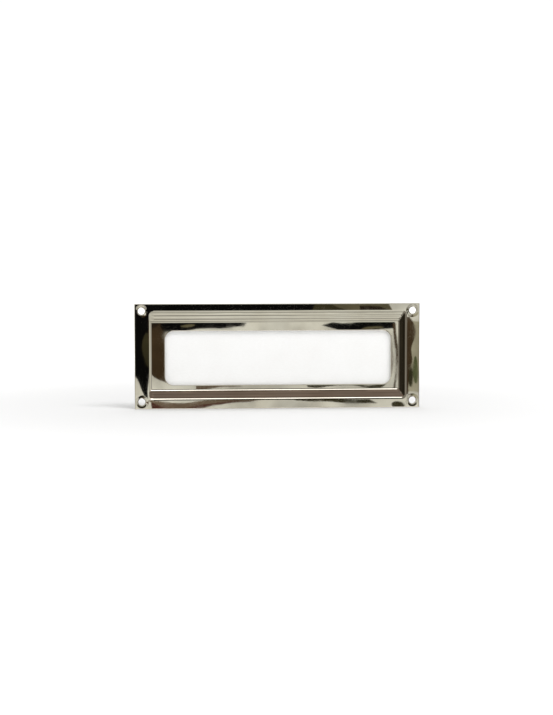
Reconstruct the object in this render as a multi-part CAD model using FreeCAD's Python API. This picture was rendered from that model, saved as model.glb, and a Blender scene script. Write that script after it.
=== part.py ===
"""Label-holder letter plate: a pressed nickel frame that holds a sliding name card.

The plate stands upright. X runs along its length, with the open end of the card slot at -X.
Z is up, and the front faces -Y. The origin is the middle of the four corner holes, on the flat
back of the flange, which is the plane y = 0 that rests on the door or drawer.
All sizes are millimetres.
"""

import FreeCAD, Part
import math
import os

from FreeCAD import Vector

# The pressed sheet
PLATE_LENGTH = 95.25
PLATE_HEIGHT = 34.93
SHEET = 0.7
PROJECTION = 3.2
PLATE_EDGE_ROUNDING = 0.2

# The raised panel: how far its middle is above the plate's middle, its outline at the fold, and
# the flat top that the bevels rise to. Half heights are from the panel's own middle.
PANEL_Z = 0.3
FOLD_RIGHT = 42.8
FOLD_LEFT = -42.85
FOLD_HALF_HEIGHT = 14.45
TOP_RIGHT = 40.4
TOP_HALF_HEIGHT = 11.3
MITRE_RADIUS = 1.2
BEND_RADIUS_TOP = 0.9
BEND_RADIUS_FOLD = 1.4
BACK_FOLD_ROUNDING = 0.6

# The panel's plain left end, which has no bevel
END_HALF_HEIGHT = 14.75
END_CORNER_RADIUS = 1.5

# The window that shows the card, which is a little low in the panel
WINDOW_Z = -0.4
WINDOW_LENGTH = 75.1
WINDOW_HEIGHT = 17.9
WINDOW_RADIUS = 2.8
WINDOW_EDGE_ROUNDING = 0.25

# The slot at the left end, where the panel's edge is cut free of the flange
SLOT_HALF_HEIGHT = 11.6

# The four fixing holes
HOLE_SPACING_X = 90.6
HOLE_SPACING_Z = 30.2
HOLE_RADIUS = 1.15
HOLE_RIM_ROUNDING = 0.3

# The card
CARD_THICKNESS = 0.4
CARD_LEFT = -41.9
CARD_RIGHT = 39.9
CARD_HALF_HEIGHT = 10.9
CARD_CORNER_RADIUS = 1.0
CARD_GAP = 0.2

# How far a cutting tool runs past the surface that it cuts
OVERRUN = 1.0

# How closely an edge has to lie on a plane or a direction to count as on it
CLOSE = 1e-4


def prism(points, direction):
    """A solid from an outline of points, pushed along direction."""
    outline = Part.makePolygon([Vector(*point) for point in points + points[:1]])
    return Part.Face(outline).extrude(Vector(*direction))


def rounded_block(x_low, x_high, z_middle, half_height, y_front, y_back, radius):
    """A slab whose corners are rounded as seen from the front."""
    length, depth, height = x_high - x_low, y_back - y_front, 2 * half_height
    block = Part.makeBox(length, depth, height, Vector(x_low, y_front, z_middle - half_height))
    corners = [edge for edge in block.Edges if edge.BoundBox.YLength > depth / 2]
    return block.makeFillet(radius, corners)


def edges_at_depth(shape, y, accept):
    """The edges that lie wholly in the plane at y, and whose middle accept(point) agrees to."""
    found = []
    for edge in shape.Edges:
        box = edge.BoundBox
        if abs(box.YMin - y) < CLOSE and abs(box.YMax - y) < CLOSE and accept(box.Center):
            found.append(edge)
    return found


def on_fold(middle):
    """Whether an edge's middle is clear of the plate's own outline and the holes."""
    inside_ends = abs(middle.x) < HOLE_SPACING_X / 2 - HOLE_RADIUS
    inside_sides = abs(middle.z) < HOLE_SPACING_Z / 2 + HOLE_RADIUS
    return inside_ends and inside_sides


def on_window(middle):
    inside_ends = abs(middle.x) <= WINDOW_LENGTH / 2 + CLOSE
    inside_sides = abs(middle.z - WINDOW_Z) <= WINDOW_HEIGHT / 2 + CLOSE
    return inside_ends and inside_sides


def on_hole(middle):
    return any((middle - centre).cross(Vector(0, 1, 0)).Length < HOLE_RADIUS for centre in hole_centres())


def on_border(middle):
    at_end = abs(abs(middle.x) - PLATE_LENGTH / 2) < CLOSE
    at_side = abs(abs(middle.z) - PLATE_HEIGHT / 2) < CLOSE
    return at_end or at_side


def anywhere(middle):
    return True


def bevel_inset(run, thickness, depth):
    """How far inside the fold line a bevel's face is, at a depth in front of the back plane.

    The bevel rises PROJECTION - SHEET while it runs inward by run. A thickness of 0 gives its
    outer face, and the sheet's thickness, which is measured square to the bevel, its inner one.
    """
    rise = PROJECTION - SHEET
    slope_length = math.hypot(run, rise)
    return ((depth - SHEET) * run + thickness * slope_length) / rise


def raised_form(left, thickness, depth_low, depth_high):
    """The panel's bevelled form from x = left on, between two depths in front of the back plane.

    It has bevels above, below and on the right. The left end is plain, because that is where the
    card goes in. The thickness is as in bevel_inset.
    """
    run_z = FOLD_HALF_HEIGHT - TOP_HALF_HEIGHT
    run_x = FOLD_RIGHT - TOP_RIGHT
    depths = (depth_low, depth_high)
    half_heights = [FOLD_HALF_HEIGHT - bevel_inset(run_z, thickness, depth) for depth in depths]
    rights = [FOLD_RIGHT - bevel_inset(run_x, thickness, depth) for depth in depths]
    end_view = [
        (left, -depth_low, PANEL_Z - half_heights[0]),
        (left, -depth_low, PANEL_Z + half_heights[0]),
        (left, -depth_high, PANEL_Z + half_heights[1]),
        (left, -depth_high, PANEL_Z - half_heights[1]),
    ]
    top_view = [
        (left, -depth_low, -PLATE_HEIGHT),
        (rights[0], -depth_low, -PLATE_HEIGHT),
        (rights[1], -depth_high, -PLATE_HEIGHT),
        (left, -depth_high, -PLATE_HEIGHT),
    ]
    form = prism(end_view, (PLATE_LENGTH, 0, 0)).common(prism(top_view, (0, 0, 2 * PLATE_HEIGHT)))
    half_depth = (depth_high - depth_low) / 2
    mitres = [edge for edge in form.Edges if edge.BoundBox.XMin > 0 and edge.BoundBox.YLength > half_depth]
    return form.makeFillet(MITRE_RADIUS - thickness, mitres)


def beyond_panel_end():
    """What is cut away in front of the flange, so that the raised panel stops at its left end."""
    left = -PLATE_LENGTH / 2 - OVERRUN
    front = -PROJECTION - OVERRUN
    width = FOLD_LEFT + END_CORNER_RADIUS - left
    block = Part.makeBox(width, -SHEET - front, 2 * PLATE_HEIGHT, Vector(left, front, -PLATE_HEIGHT))
    kept = rounded_block(
        FOLD_LEFT, FOLD_RIGHT, PANEL_Z, END_HALF_HEIGHT, front, -SHEET, END_CORNER_RADIUS,
    )
    return block.cut(kept)


def card_slot():
    """The way in for the card, from the left end between the flange and the panel's edge."""
    left = -PLATE_LENGTH / 2 - OVERRUN
    front = SHEET - PROJECTION
    length = FOLD_LEFT + SHEET + OVERRUN - left
    corner = Vector(left, front, PANEL_Z - SLOT_HALF_HEIGHT)
    return Part.makeBox(length, -SHEET - front, 2 * SLOT_HALF_HEIGHT, corner)


def hole_centres():
    """The middles of the four fixing holes on the back plane."""
    return [
        Vector(x_side * HOLE_SPACING_X / 2, 0, z_side * HOLE_SPACING_Z / 2)
        for x_side in (-1, 1)
        for z_side in (-1, 1)
    ]


def frame_plate():
    """The pressed sheet: flange, raised panel, window, card slot and fixing holes."""
    corner = Vector(-PLATE_LENGTH / 2, -SHEET, -PLATE_HEIGHT / 2)
    flange = Part.makeBox(PLATE_LENGTH, SHEET, PLATE_HEIGHT, corner)
    plate = flange.fuse(raised_form(-PLATE_LENGTH / 2, 0, 0, PROJECTION)).removeSplitter()

    plate = plate.makeFillet(BEND_RADIUS_FOLD, edges_at_depth(plate, -SHEET, on_fold))
    plate = plate.cut(beyond_panel_end())
    plate = plate.makeFillet(BEND_RADIUS_TOP, edges_at_depth(plate, -PROJECTION, anywhere))

    plate = plate.cut(raised_form(FOLD_LEFT + SHEET, SHEET, -OVERRUN, PROJECTION - SHEET))
    plate = plate.makeFillet(BACK_FOLD_ROUNDING, edges_at_depth(plate, 0, on_fold))
    plate = plate.cut(card_slot())

    half_length, half_height = WINDOW_LENGTH / 2, WINDOW_HEIGHT / 2
    front = -PROJECTION - OVERRUN
    window = rounded_block(-half_length, half_length, WINDOW_Z, half_height, front, 0, WINDOW_RADIUS)
    plate = plate.cut(window)
    plate = plate.makeFillet(WINDOW_EDGE_ROUNDING, edges_at_depth(plate, -PROJECTION, on_window))

    for centre in hole_centres():
        start = centre + Vector(0, OVERRUN, 0)
        plate = plate.cut(Part.makeCylinder(HOLE_RADIUS, SHEET + 2 * OVERRUN, start, Vector(0, -1, 0)))
    plate = plate.makeFillet(HOLE_RIM_ROUNDING, edges_at_depth(plate, -SHEET, on_hole))
    return plate.makeFillet(PLATE_EDGE_ROUNDING, edges_at_depth(plate, -SHEET, on_border))


def label_card():
    """The stiff blank card that slides in from the left, just behind the panel."""
    front = SHEET - PROJECTION + CARD_GAP
    back = front + CARD_THICKNESS
    return rounded_block(
        CARD_LEFT, CARD_RIGHT, PANEL_Z, CARD_HALF_HEIGHT, front, back, CARD_CORNER_RADIUS,
    )


def main():
    os.makedirs("parts", exist_ok=True)
    nodes = {"frame_plate": frame_plate(), "label_card": label_card()}
    for name, shape in nodes.items():
        print(name, "valid:", shape.isValid(), "solids:", len(shape.Solids), "mm3:", round(shape.Volume, 1))
        shape.exportStep("parts/" + name + ".step")
    gap = nodes["frame_plate"].distToShape(nodes["label_card"])[0]
    print("smallest gap between frame and card, mm:", round(gap, 3))


main()
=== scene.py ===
import math

import bpy
from mathutils import Matrix, Vector


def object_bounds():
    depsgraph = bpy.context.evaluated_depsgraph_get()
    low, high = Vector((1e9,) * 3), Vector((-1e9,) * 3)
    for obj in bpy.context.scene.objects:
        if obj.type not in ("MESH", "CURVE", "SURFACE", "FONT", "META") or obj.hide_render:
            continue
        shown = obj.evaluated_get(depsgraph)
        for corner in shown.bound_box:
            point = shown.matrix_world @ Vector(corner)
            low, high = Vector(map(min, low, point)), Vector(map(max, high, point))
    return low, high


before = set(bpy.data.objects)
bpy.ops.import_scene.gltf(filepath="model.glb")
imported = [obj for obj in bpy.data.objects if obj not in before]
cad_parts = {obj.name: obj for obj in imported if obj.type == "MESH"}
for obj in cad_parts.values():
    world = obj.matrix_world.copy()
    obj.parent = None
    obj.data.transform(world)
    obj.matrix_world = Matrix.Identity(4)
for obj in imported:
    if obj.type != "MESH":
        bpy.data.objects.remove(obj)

MM = 0.001
CAD_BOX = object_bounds()

# Camera: close to square on, a little to the left of the plate and above it
LENS_MM = 85.0
SENSOR_MM = 36.0
CLIP_START = 0.01
VIEW_HEIGHT = 238.7 * MM
AZIMUTH = -4.2
ELEVATION = 3.8
ROLL = -0.05
AIM = Vector((-0.4 * MM, 0.0, -0.55 * MM))

# Studio: how bright the ground looks, how bright it lights, the painted light on the floor (a glow
# that rises from none near the plate to full far from it), and the board of shapes that stands just
# behind the camera
BACKGROUND_GLOW = 1.02
SOFT_LIGHT = 0.76
FLOOR_SIZE = 6.0
FLOOR_DROP = 0.02 * MM
FLOOR_WHITE = (0.9, 0.9, 0.9, 1.0)
FLOOR_ROUGHNESS = 0.9
FLOOR_PAINTED_LIGHT = (0.0, 0.5)
FLOOR_PAINTED_LIGHT_FROM_TO = (0.05, 0.30)
BOARD_BEHIND_CAMERA = 0.03
BOARD_LAYER_MM = 0.2
KEY_PLACE = Vector((0.35, -0.45, 0.8))
KEY_LENGTH = 0.5
KEY_WIDTH = 0.25
KEY_WATTS = 4.0
WHITE = (1.0, 1.0, 1.0, 1.0)

# The panels round the studio that only the metal mirrors, in metres from the plate. An edge that
# runs along the studio is given as (y, z).
STUDIO_SIDE = 1.2
STUDIO_FRONT = -0.9
STUDIO_BACK = 1.0
STUDIO_HALF_HEIGHT = 1.1
RIGHT_FRONT = -0.5
FRONT_RIGHT_X = 0.3
FRONT_RIGHT_LOW = -0.2
FRONT_RIGHT_HIGH = 0.6
EYE_LEVEL = 0.02
SILL = -0.08
LOW_FRONT = -0.45
SEAM_FRONT = -0.78
SEAM_BACK = -0.47
SEAM_DROP = 0.01
STRIP_HALF_WIDTH = 0.22
STRIP_TOP = (-0.65, -0.54)

# Emission of what the polished metal mirrors, as linear colour
BEIGE = (0.69, 0.69, 0.64)
BLACK = (0.004, 0.004, 0.004)
BROWN = (0.062, 0.040, 0.021)
RED_BROWN = (0.075, 0.030, 0.022)
OLIVE = (0.120, 0.108, 0.066)
DARK_OLIVE = (0.040, 0.036, 0.018)
GREEN = (0.120, 0.140, 0.066)
SOOT = (0.022, 0.015, 0.010)
UMBER = (0.150, 0.112, 0.080)
GREY = (0.26, 0.24, 0.21)
STONE = (0.42, 0.41, 0.38)
SAND = (0.45, 0.43, 0.33)
SEAM = (0.20, 0.185, 0.16)
DUSK = (0.200, 0.155, 0.130)
NIGHT = (0.030, 0.025, 0.017)
BRIGHT = (3.0, 2.95, 2.9)
MOTTLING = 0.22
BROAD_SCALE = 6.0
FINE_SCALE = 40.0

# Relief of the metal: waves left by the press, ripples along the long bevels, and the raised rims
# of the fixing holes
WAVE_HEIGHT = 0.04 * MM
PEEL_HEIGHT = 0.0002 * MM
HAIR_HEIGHT = 0.00002 * MM
BACK_GRAIN_HEIGHT = 0.004 * MM
RIPPLE_AT = 12.47 * MM
RIPPLE_PITCH = 1.15 * MM
RIPPLE_HEIGHT = 0.018 * MM
RIPPLE_END = 41.0 * MM
RIPPLE_FADE = 1.0 * MM
RIM_HEIGHT = 0.035 * MM
RIM_TOP_RADIUS = 0.5 * MM
RIM_RADIUS = 2.3 * MM
HOLE_X = 45.3 * MM
HOLE_Z = 15.1 * MM

# Colours and roughness of the metal and the card
POLISHED = 0.015
BACK_ROUGHNESS = 0.22
NICKEL = (0.72, 0.69, 0.61, 1.0)
NICKEL_DEEP = (0.66, 0.62, 0.53, 1.0)
CARD_WHITE = (0.92, 0.92, 0.91, 1.0)
CARD_SHADE = (0.875, 0.87, 0.855, 1.0)
CARD_ROUGHNESS = 0.85
FIBRE_HEIGHT = 0.006 * MM


class Nodes:
    """A small helper that adds and links shader nodes."""

    def __init__(self, tree):
        self.tree = tree
        tree.nodes.clear()

    def add(self, kind, inputs=None, **settings):
        node = self.tree.nodes.new(kind)
        for name, value in settings.items():
            setattr(node, name, value)
        for socket, value in (inputs or {}).items():
            if isinstance(value, bpy.types.NodeSocket):
                self.tree.links.new(value, node.inputs[socket])
            else:
                node.inputs[socket].default_value = value
        return node

    def math(self, operation, *values):
        return self.add("ShaderNodeMath", dict(enumerate(values)), operation=operation).outputs[0]

    def noise(self, vector, scale, detail=2.0, roughness=0.5):
        inputs = {"Vector": vector, "Scale": scale, "Detail": detail, "Roughness": roughness}
        return self.add("ShaderNodeTexNoise", inputs).outputs["Fac"]

    def stretch(self, vector, scale):
        """Coordinates scaled by a different amount along each axis."""
        inputs = {0: vector, 1: scale}
        return self.add("ShaderNodeVectorMath", inputs, operation="MULTIPLY").outputs[0]

    def between(self, value, low, high, out_low=0.0, out_high=1.0):
        """A smooth step from out_low to out_high, as value goes from low to high."""
        inputs = {"Value": value, "From Min": low, "From Max": high, "To Min": out_low, "To Max": out_high}
        return self.add("ShaderNodeMapRange", inputs, interpolation_type="SMOOTHSTEP").outputs[0]

    def blend(self, factor, first, second):
        node = self.add("ShaderNodeMix", data_type="RGBA")
        for socket, value in ((node.inputs[0], factor), (node.inputs[6], first), (node.inputs[7], second)):
            if isinstance(value, bpy.types.NodeSocket):
                self.tree.links.new(value, socket)
            else:
                socket.default_value = value
        return node.outputs[2]


def new_material(name):
    """A material with nothing in it yet, and the helper that fills it."""
    material = bpy.data.materials.new(name)
    material.use_nodes = True
    return material, Nodes(material.node_tree)


def bevel_ripples(nodes, along, across):
    """Two fine grooves along the long bevels, which fade out before the mitres."""
    phase = nodes.math("MULTIPLY", nodes.math("SUBTRACT", across, RIPPLE_AT), math.tau / RIPPLE_PITCH)
    inner = nodes.between(across, RIPPLE_AT - 0.6 * RIPPLE_PITCH, RIPPLE_AT - 0.2 * RIPPLE_PITCH)
    outer = nodes.between(across, RIPPLE_AT + 1.2 * RIPPLE_PITCH, RIPPLE_AT + 1.5 * RIPPLE_PITCH, 1.0, 0.0)
    lengthwise = nodes.between(along, RIPPLE_END, RIPPLE_END + RIPPLE_FADE, 1.0, 0.0)
    on_bevel = nodes.math("MULTIPLY", nodes.math("MULTIPLY", inner, outer), lengthwise)
    return nodes.math("MULTIPLY", nodes.math("SINE", phase), on_bevel)


def hole_rims(nodes, along, across):
    """A low mound round each of the four fixing holes."""
    from_hole = nodes.add(
        "ShaderNodeCombineXYZ",
        {0: nodes.math("SUBTRACT", along, HOLE_X), 1: nodes.math("SUBTRACT", across, HOLE_Z)},
    ).outputs[0]
    radius = nodes.add("ShaderNodeVectorMath", {0: from_hole}, operation="LENGTH").outputs["Value"]
    return nodes.between(radius, RIM_TOP_RADIUS, RIM_RADIUS, 1.0, 0.0)


def polished_nickel():
    """Mirror-polished nickel with the press's relief and hairlines, and a duller back."""
    material, nodes = new_material("polished_nickel")
    place = nodes.add("ShaderNodeTexCoord")
    at = place.outputs["Object"]
    facing = nodes.add("ShaderNodeSeparateXYZ", {0: place.outputs["Normal"]}).outputs["Y"]
    back = nodes.between(facing, 0.35, 0.75)
    axes = nodes.add("ShaderNodeSeparateXYZ", {0: at})
    along = nodes.math("ABSOLUTE", axes.outputs["X"])
    across = nodes.math("ABSOLUTE", axes.outputs["Z"])

    waves = nodes.noise(at, 62.0, 1.0, 0.35)
    peel = nodes.noise(at, 900.0, 2.0)
    hairs = nodes.noise(nodes.stretch(at, (60.0, 900.0, 9000.0)), 1.0, 3.0, 0.7)
    grain = nodes.noise(at, 5200.0, 3.0, 0.65)
    relief = [
        (bevel_ripples(nodes, along, across), RIPPLE_HEIGHT),
        (hole_rims(nodes, along, across), RIM_HEIGHT),
        (peel, PEEL_HEIGHT),
        (hairs, HAIR_HEIGHT),
        (grain, nodes.math("MULTIPLY", back, BACK_GRAIN_HEIGHT)),
    ]
    height = nodes.math("MULTIPLY", waves, WAVE_HEIGHT)
    for pattern, amount in relief:
        height = nodes.math("MULTIPLY_ADD", pattern, amount, height)
    bump = nodes.add("ShaderNodeBump", {"Height": height, "Strength": 1.0, "Distance": 1.0})

    smudge = nodes.between(nodes.noise(at, 140.0, 3.0, 0.6), 0.45, 0.75)
    roughness = nodes.math("MULTIPLY_ADD", smudge, 0.02, POLISHED)
    roughness = nodes.math("MULTIPLY_ADD", nodes.between(hairs, 0.55, 0.8), 0.015, roughness)
    roughness = nodes.math("MULTIPLY_ADD", back, BACK_ROUGHNESS, roughness)
    tint = nodes.blend(nodes.between(nodes.noise(at, 60.0, 4.0), 0.35, 0.7), NICKEL, NICKEL_DEEP)

    shader = nodes.add(
        "ShaderNodeBsdfPrincipled",
        {"Base Color": tint, "Metallic": 1.0, "Roughness": roughness, "Normal": bump.outputs[0]},
    )
    nodes.add("ShaderNodeOutputMaterial", {"Surface": shader.outputs[0]})
    return material


def card_stock():
    """Matt white card with a faint fibre pattern."""
    material, nodes = new_material("card_stock")
    at = nodes.add("ShaderNodeTexCoord").outputs["Object"]
    fibres = nodes.noise(nodes.stretch(at, (900.0, 2600.0, 2600.0)), 1.0, 5.0, 0.65)
    cloud = nodes.noise(at, 120.0, 3.0)
    mottle = nodes.math("MULTIPLY_ADD", fibres, 0.6, nodes.math("MULTIPLY", cloud, 0.4))
    colour = nodes.blend(nodes.between(mottle, 0.3, 0.75), CARD_WHITE, CARD_SHADE)
    height = nodes.math("MULTIPLY", fibres, FIBRE_HEIGHT)
    bump = nodes.add("ShaderNodeBump", {"Height": height, "Strength": 1.0, "Distance": 1.0})
    shader = nodes.add(
        "ShaderNodeBsdfPrincipled",
        {"Base Color": colour, "Roughness": CARD_ROUGHNESS, "Normal": bump.outputs[0]},
    )
    nodes.add("ShaderNodeOutputMaterial", {"Surface": shader.outputs[0]})
    return material


def dress(node, material):
    """Gives a CAD node one material in place of its own."""
    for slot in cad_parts[node].material_slots:
        slot.link = "OBJECT"
        slot.material = material


def make_camera():
    """The camera, at the distance where its picture is VIEW_HEIGHT high at the plate."""
    azimuth, elevation = math.radians(AZIMUTH), math.radians(ELEVATION)
    back = Vector((
        math.sin(azimuth) * math.cos(elevation),
        -math.cos(azimuth) * math.cos(elevation),
        math.sin(elevation),
    ))
    data = bpy.data.cameras.new("camera")
    data.lens = LENS_MM
    data.sensor_width = SENSOR_MM
    data.clip_start = CLIP_START
    camera = bpy.data.objects.new("camera", data)
    distance = VIEW_HEIGHT * LENS_MM / SENSOR_MM
    turn = (-back).to_track_quat("-Z", "Y").to_matrix().to_4x4()
    roll = Matrix.Rotation(math.radians(ROLL), 4, "Z")
    camera.matrix_world = Matrix.Translation(AIM + back * distance) @ turn @ roll
    bpy.context.scene.collection.objects.link(camera)
    bpy.context.scene.camera = camera
    return camera


def glow(name, colour):
    """A softly mottled glowing surface for the things that the metal mirrors."""
    material, nodes = new_material(name)
    at = nodes.add("ShaderNodeTexCoord").outputs["Object"]
    broad = nodes.between(nodes.noise(at, BROAD_SCALE, 1.0), 0.3, 0.7, 1.0 - MOTTLING, 1.0 + MOTTLING)
    fine = nodes.between(nodes.noise(at, FINE_SCALE, 3.0), 0.3, 0.7, 1.0 - MOTTLING, 1.0 + MOTTLING)
    uneven = nodes.math("MULTIPLY", broad, fine)
    shader = nodes.add("ShaderNodeEmission", {"Color": (*colour, 1.0), "Strength": uneven})
    nodes.add("ShaderNodeOutputMaterial", {"Surface": shader.outputs[0]})
    return material


def mirrored_only(name, corners, colour):
    """A flat stage panel that shows only in reflections."""
    mesh = bpy.data.meshes.new(name)
    mesh.from_pydata([tuple(corner) for corner in corners], [], [range(len(corners))])
    panel = bpy.data.objects.new(name, mesh)
    mesh.materials.append(glow(name, colour))
    bpy.context.scene.collection.objects.link(panel)
    panel.visible_camera = False
    panel.visible_diffuse = False
    panel.visible_shadow = False
    panel.visible_transmission = False


def board_point(camera, x, z, layer):
    """The point on the board that the camera sees mirrored in a flat face at x, z.

    x, z and layer, which is how far in front of the board the shape stands, are in mm.
    """
    eye = camera.matrix_world.translation
    board_y = eye.y - BOARD_BEHIND_CAMERA + layer * MM
    spot = Vector((x * MM, 0.0, z * MM))
    ray = spot - eye
    share = -board_y / ray.y
    return Vector((spot.x + ray.x * share, board_y, spot.z + ray.z * share))


def blob(x, z, half_width, half_height, points=24):
    """An oval outline round x, z."""
    turns = [math.tau * k / points for k in range(points)]
    return [(x + half_width * math.cos(a), z + half_height * math.sin(a)) for a in turns]


def make_board(camera):
    """What stands round the camera. Outlines are given as where the plate mirrors them, in mm."""
    shapes = [
        ("board", BEIGE, [(-80, 22), (80, 22), (80, -24), (-80, -24)]),
        ("dark_top", BLACK, [
            (-80, 21), (18, 21), (17, 13.2), (-42.9, 13.2), (-42.9, -15.2), (-47.8, -6.8), (-80, 12),
        ]),
        ("dark_olive_top", DARK_OLIVE, [(14, 21), (24, 21), (27, 13.2), (11, 13.2)]),
        ("olive_top", OLIVE, [(19, 21), (36, 21), (40.5, 13.2), (30, 14.6), (24, 15.4), (18, 17.0)]),
        ("soot_top", SOOT, [
            (27, 17.2), (34, 16.6), (39.4, 15.0), (41.6, 13.6), (34, 14.6), (27.4, 15.4),
        ]),
        ("olive_left", DARK_OLIVE, blob(-43.6, 2.5, 1.9, 5.5)),
        ("brown_left", BROWN, [
            (-42.9, 13.2), (-36.5, 13.2), (-36.5, -8.9), (-39, -8.3), (-41, -7.2), (-42.9, -5.2),
        ]),
        ("soot_left", SOOT, [(-42.9, 13.2), (-38.4, 13.2), (-39.6, 10.6), (-42.9, 9.4)]),
        ("dark_wedge_left", BLACK, [
            (-38.4, 13.2), (-24, 12.6), (-16, 11.9), (-10.6, 10.8),
            (-11.6, 9.6), (-18, 9.0), (-36.6, 8.0), (-38.6, 10),
        ]),
        ("dark_wedge_right", BLACK, [
            (14.6, 10.3), (19, 11.5), (26, 12.1), (34, 12.4),
            (39.6, 12.2), (38.6, 9.4), (30, 8.6), (22, 9.2),
        ]),
        ("patch_left", OLIVE, blob(-29.8, 10.0, 2.6, 0.5)),
        ("patch_right", OLIVE, blob(31.5, 9.7, 3.6, 0.5)),
        ("red_bottom", RED_BROWN, [
            (-42, -14.6), (-6, -14.6), (-10, -15.3), (-18, -16.2),
            (-28, -17.6), (-34, -18.6), (-42, -18.6),
        ]),
        ("umber_bottom", UMBER, [(-44, -14.6), (-4, -14.6), (-10, -15.1), (-22, -16.0), (-38, -16.6)]),
        ("olive_bottom", DARK_OLIVE, [
            (2, -14.6), (17, -14.6), (31, -15.6), (34, -17.0), (22, -16.4), (12, -15.8),
        ]),
        ("disc_bottom", DARK_OLIVE, blob(40.6, -17.3, 2.3, 1.3)),
        ("brown_low", UMBER, [(-27, -9.2), (-13, -9.2), (-12, -9.9), (-20, -10.4), (-27, -10.6)]),
        ("olive_low", DARK_OLIVE, [
            (9.3, -9.4), (36, -9.4), (37.2, -8.4), (35, -10.0), (22, -10.4), (9.3, -10.3),
        ]),
        ("line_right", BROWN, [(38.6, 11.0), (39.6, 11.4), (39.6, -10.6), (39.1, -10.6), (38.8, 3)]),
        ("rim_right", DUSK, [(37.5, 6.4), (37.9, 6.4), (38.2, 0), (37.9, -7.2), (37.5, -7.2)]),
        ("sand_right", SAND, [(41, 12), (60, 12), (60, -12), (41, -12)]),
        ("brown_right", BROWN, [
            (41, 13.6), (43.6, 13.4), (44.8, 11.4), (45.5, 8.0), (45.1, 4.6), (44.3, 2), (44.9, -1.6),
            (44.5, -5), (43.9, -8.5), (43.9, -13), (41, -13),
        ]),
        ("green_right", GREEN, blob(46.3, -5.0, 1.0, 4.6)),
        ("moss_right", DARK_OLIVE, blob(44.6, -7.6, 0.8, 3.0)),
    ]
    for layer, (name, colour, outline) in enumerate(shapes):
        corners = [board_point(camera, x, z, layer * BOARD_LAYER_MM) for x, z in outline]
        mirrored_only(name, corners, colour)


def sloping(x_low, x_high, first, second):
    """A panel between two x, from its first edge to its second, which are given as (y, z)."""
    return [(x_low, *first), (x_high, *first), (x_high, *second), (x_low, *second)]


def upright(start, end):
    """A panel that stands between two (x, y), as high and as low as the studio."""
    low, high = -STUDIO_HALF_HEIGHT, STUDIO_HALF_HEIGHT
    return [(*start, low), (*end, low), (*end, high), (*start, high)]


def make_surroundings():
    """The rest of the studio, as large panels round the plate that only the metal mirrors."""
    side, strip, high = STUDIO_SIDE, STRIP_HALF_WIDTH, STUDIO_HALF_HEIGHT
    ceiling_front, ceiling_back = (STUDIO_FRONT, high), (STUDIO_BACK, high)
    seam_front, seam_back = (SEAM_FRONT, high - SEAM_DROP), (SEAM_BACK, high - SEAM_DROP)
    eye_level, sill = (STUDIO_FRONT, EYE_LEVEL), (STUDIO_FRONT, SILL)
    low_front, low_back = (LOW_FRONT, -high), (STUDIO_BACK, -high)
    front_right = [
        (FRONT_RIGHT_X, STUDIO_FRONT, FRONT_RIGHT_LOW), (side, RIGHT_FRONT, -high),
        (side, RIGHT_FRONT, high), (FRONT_RIGHT_X, STUDIO_FRONT, FRONT_RIGHT_HIGH),
    ]
    panels = [
        ("ceiling", BEIGE, sloping(-side, side, ceiling_front, ceiling_back)),
        ("ceiling_seam", SEAM, sloping(-side, side, seam_front, seam_back)),
        ("front_high", BEIGE, sloping(-side, side, eye_level, ceiling_front)),
        ("sill", NIGHT, sloping(-strip, strip, sill, STRIP_TOP)),
        ("strip_light", BRIGHT, sloping(-strip, strip, STRIP_TOP, low_front)),
        ("low_left", STONE, sloping(-side, -strip, sill, low_front)),
        ("low_right", GREY, sloping(strip, side, sill, low_front)),
        ("level", STONE, sloping(-side, side, sill, eye_level)),
        ("below", DUSK, sloping(-side, side, low_front, low_back)),
        ("left_side", BEIGE, upright((-side, STUDIO_FRONT), (-side, STUDIO_BACK))),
        ("right_side", NIGHT, upright((side, RIGHT_FRONT), (side, STUDIO_BACK))),
        ("front_right", GREY, front_right),
        ("behind", STONE, upright((-side, STUDIO_BACK), (side, STUDIO_BACK))),
    ]
    for name, colour, corners in panels:
        mirrored_only(name, corners, colour)


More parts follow.
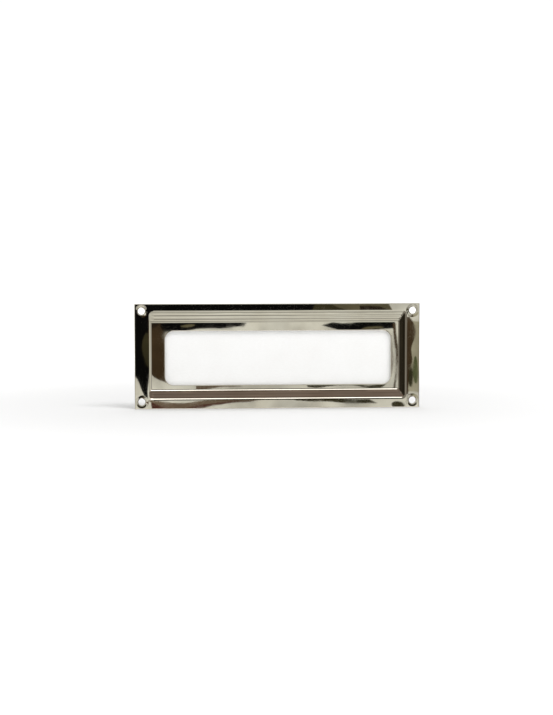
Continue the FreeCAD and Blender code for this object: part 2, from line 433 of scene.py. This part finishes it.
def make_floor():
    """A pale floor under the plate, which the metal doesn't mirror, with painted light: a glow that grows
    with distance from the plate, so the floor stays darker near it.
    """
    low = CAD_BOX[0].z - FLOOR_DROP
    half = FLOOR_SIZE / 2
    mesh = bpy.data.meshes.new("floor")
    corners = [(-half, -half, low), (half, -half, low), (half, half, low), (-half, half, low)]
    mesh.from_pydata(corners, [], [range(4)])
    floor = bpy.data.objects.new("floor", mesh)
    material, nodes = new_material("floor")
    at = nodes.add("ShaderNodeTexCoord").outputs["Object"]
    distance = nodes.add("ShaderNodeVectorMath", {0: at}, operation="LENGTH").outputs["Value"]
    # Painted light: the floor glows more the farther it is from the plate, which leaves it darker near the
    # plate
    painted_floor_light = nodes.between(distance, *FLOOR_PAINTED_LIGHT_FROM_TO, *FLOOR_PAINTED_LIGHT)
    shader = nodes.add(
        "ShaderNodeBsdfPrincipled",
        {
            "Base Color": FLOOR_WHITE,
            "Roughness": FLOOR_ROUGHNESS,
            "Emission Color": WHITE,
            "Emission Strength": painted_floor_light,
        },
    )
    nodes.add("ShaderNodeOutputMaterial", {"Surface": shader.outputs[0]})
    mesh.materials.append(material)
    bpy.context.scene.collection.objects.link(floor)
    floor.visible_glossy = False


def make_light():
    """Soft white light from all round, and one broad lamp above the front."""
    world = bpy.data.worlds.new("studio")
    world.use_nodes = True
    bpy.context.scene.world = world
    nodes = Nodes(world.node_tree)
    seen = nodes.add("ShaderNodeLightPath").outputs["Is Camera Ray"]
    strength = nodes.between(seen, 0.0, 1.0, SOFT_LIGHT, BACKGROUND_GLOW)
    shader = nodes.add("ShaderNodeBackground", {"Color": WHITE, "Strength": strength})
    nodes.add("ShaderNodeOutputWorld", {"Surface": shader.outputs[0]})

    data = bpy.data.lights.new("key", "AREA")
    data.shape = "RECTANGLE"
    data.size = KEY_LENGTH
    data.size_y = KEY_WIDTH
    data.energy = KEY_WATTS
    lamp = bpy.data.objects.new("key", data)
    turn = (-KEY_PLACE).to_track_quat("-Z", "Y").to_matrix().to_4x4()
    lamp.matrix_world = Matrix.Translation(KEY_PLACE) @ turn
    bpy.context.scene.collection.objects.link(lamp)
    lamp.visible_glossy = False


camera = make_camera()
dress("frame_plate", polished_nickel())
dress("label_card", card_stock())
make_board(camera)
make_surroundings()
make_floor()
make_light()
bpy.context.scene.view_settings.view_transform = "Standard"
